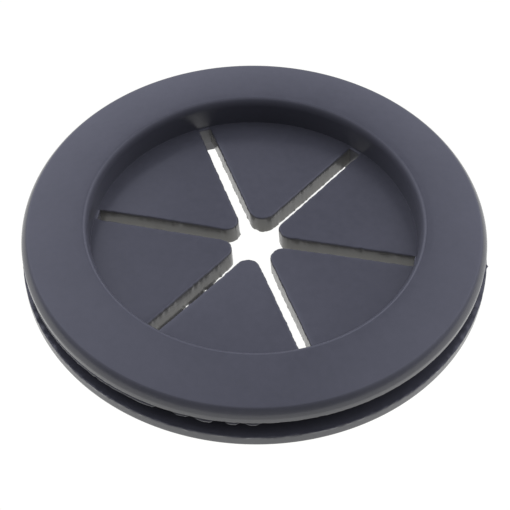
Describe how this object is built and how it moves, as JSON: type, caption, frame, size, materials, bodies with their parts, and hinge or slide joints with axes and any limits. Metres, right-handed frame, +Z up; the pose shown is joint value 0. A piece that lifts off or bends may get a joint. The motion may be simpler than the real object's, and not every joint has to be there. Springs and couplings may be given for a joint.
{
  "type": "cable grommet",
  "caption": "Flexible black rubber desk grommet: a wide flange, a groove for the panel's edge, a lower flange, and a recessed web slit into flaps that bend to let cables pass.",
  "frame": {"origin": "centre of the underside, on the grommet's axis", "axes": "+Z up through the hole towards the top flange; -Y is the front, with the middle of one flap on it"},
  "size_m": [0.081, 0.081, 0.0119],
  "materials": {
    "rubber": "matte"
  },
  "bodies": {
    "ring": {"top_flange": "rubber", "neck": "rubber", "lower_flange": "rubber", "web_margin": "rubber"},
    "flap_rear": {"flap_rear": "rubber"},
    "flap_rear_right": {"flap_rear_right": "rubber"},
    "flap_front_right": {"flap_front_right": "rubber"},
    "flap_front": {"flap_front": "rubber"},
    "flap_front_left": {"flap_front_left": "rubber"},
    "flap_rear_left": {"flap_rear_left": "rubber"}
  },
  "joints": [
    {"name": "rear_flap_bend", "type": "hinge", "parent": "ring", "child": "flap_rear", "pos_m": [0, 0.0235, 0.00445], "axis": [-1, 0, 0], "range_deg": [-60, 60], "stiffness_Nm_per_rad": 0.055},
    {"name": "rear_right_flap_bend", "type": "hinge", "parent": "ring", "child": "flap_rear_right", "pos_m": [0.02035, 0.01175, 0.00445], "axis": [-0.5, 0.866, 0], "range_deg": [-60, 60], "stiffness_Nm_per_rad": 0.055},
    {"name": "front_right_flap_bend", "type": "hinge", "parent": "ring", "child": "flap_front_right", "pos_m": [0.02035, -0.01175, 0.00445], "axis": [0.5, 0.866, 0], "range_deg": [-60, 60], "stiffness_Nm_per_rad": 0.055},
    {"name": "front_flap_bend", "type": "hinge", "parent": "ring", "child": "flap_front", "pos_m": [0, -0.0235, 0.00445], "axis": [1, 0, 0], "range_deg": [-60, 60], "stiffness_Nm_per_rad": 0.055},
    {"name": "front_left_flap_bend", "type": "hinge", "parent": "ring", "child": "flap_front_left", "pos_m": [-0.02035, -0.01175, 0.00445], "axis": [0.5, -0.866, 0], "range_deg": [-60, 60], "stiffness_Nm_per_rad": 0.055},
    {"name": "rear_left_flap_bend", "type": "hinge", "parent": "ring", "child": "flap_rear_left", "pos_m": [-0.02035, 0.01175, 0.00445], "axis": [-0.5, -0.866, 0], "range_deg": [-60, 60], "stiffness_Nm_per_rad": 0.055}
  ]
}
